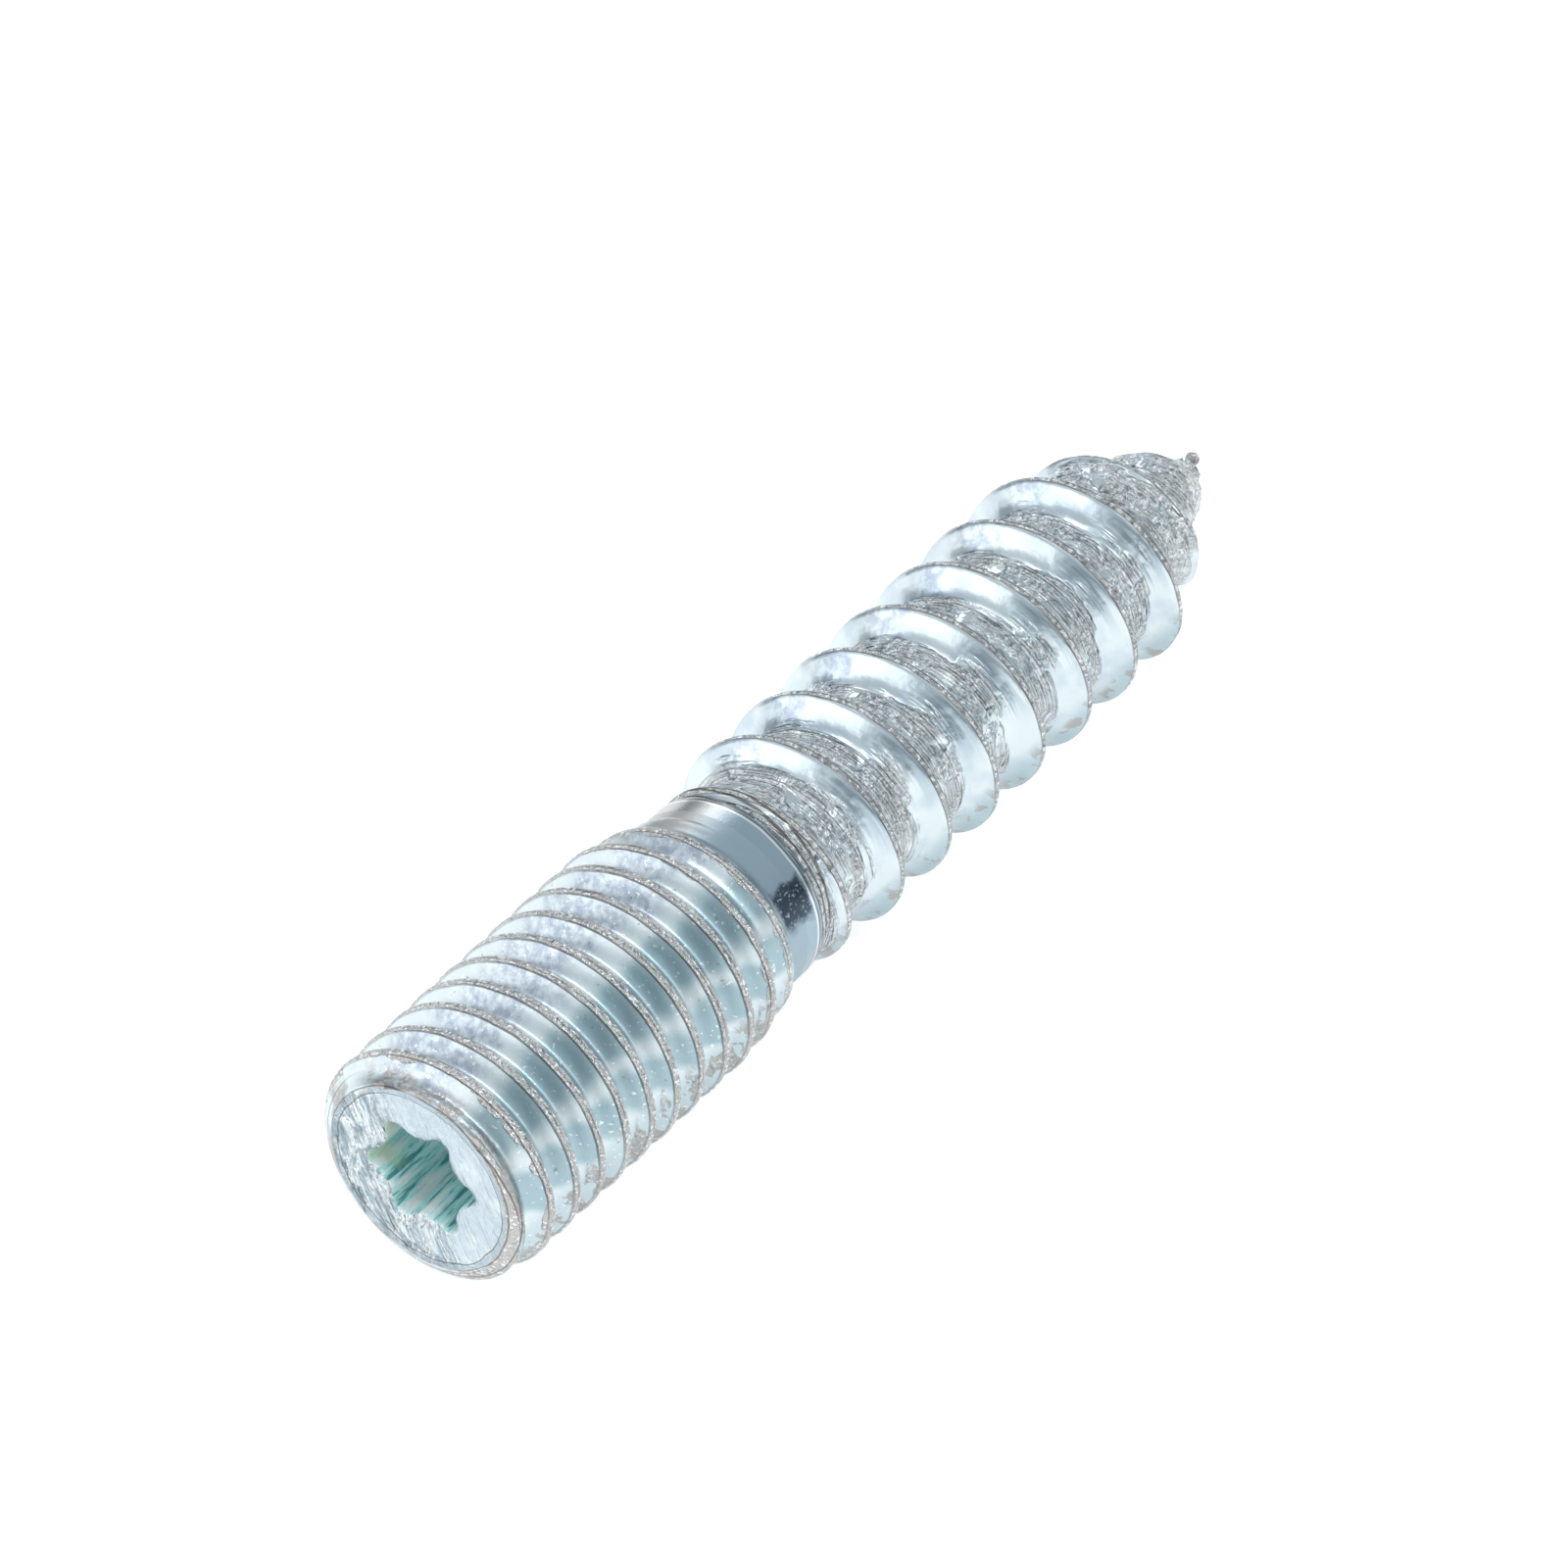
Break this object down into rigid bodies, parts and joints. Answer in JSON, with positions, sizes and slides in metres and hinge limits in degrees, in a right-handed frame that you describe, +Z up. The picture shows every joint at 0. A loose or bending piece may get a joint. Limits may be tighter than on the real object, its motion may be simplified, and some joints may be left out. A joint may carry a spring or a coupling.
{
  "type": "hanger bolt",
  "caption": "Hanger bolt with a machine thread and six-lobe drive recess at one end and a pointed wood thread at the other, for fixing legs and fittings to timber.",
  "frame": {"origin": "below the middle of the bolt's length, on the plane that its thread crests rest on", "axes": "+X along the bolt's axis towards the wood thread's point, +Z up, +Y completing a right-handed frame"},
  "size_m": [0.0408, 0.008, 0.008],
  "materials": {
    "zinc_plated_steel": "bright bluish zinc plate, smooth on the thread flanks and rough in the rolled roots and on the sheared end face"
  },
  "bodies": {
    "root": {"hanger_bolt": "zinc_plated_steel"}
  },
  "joints": []
}
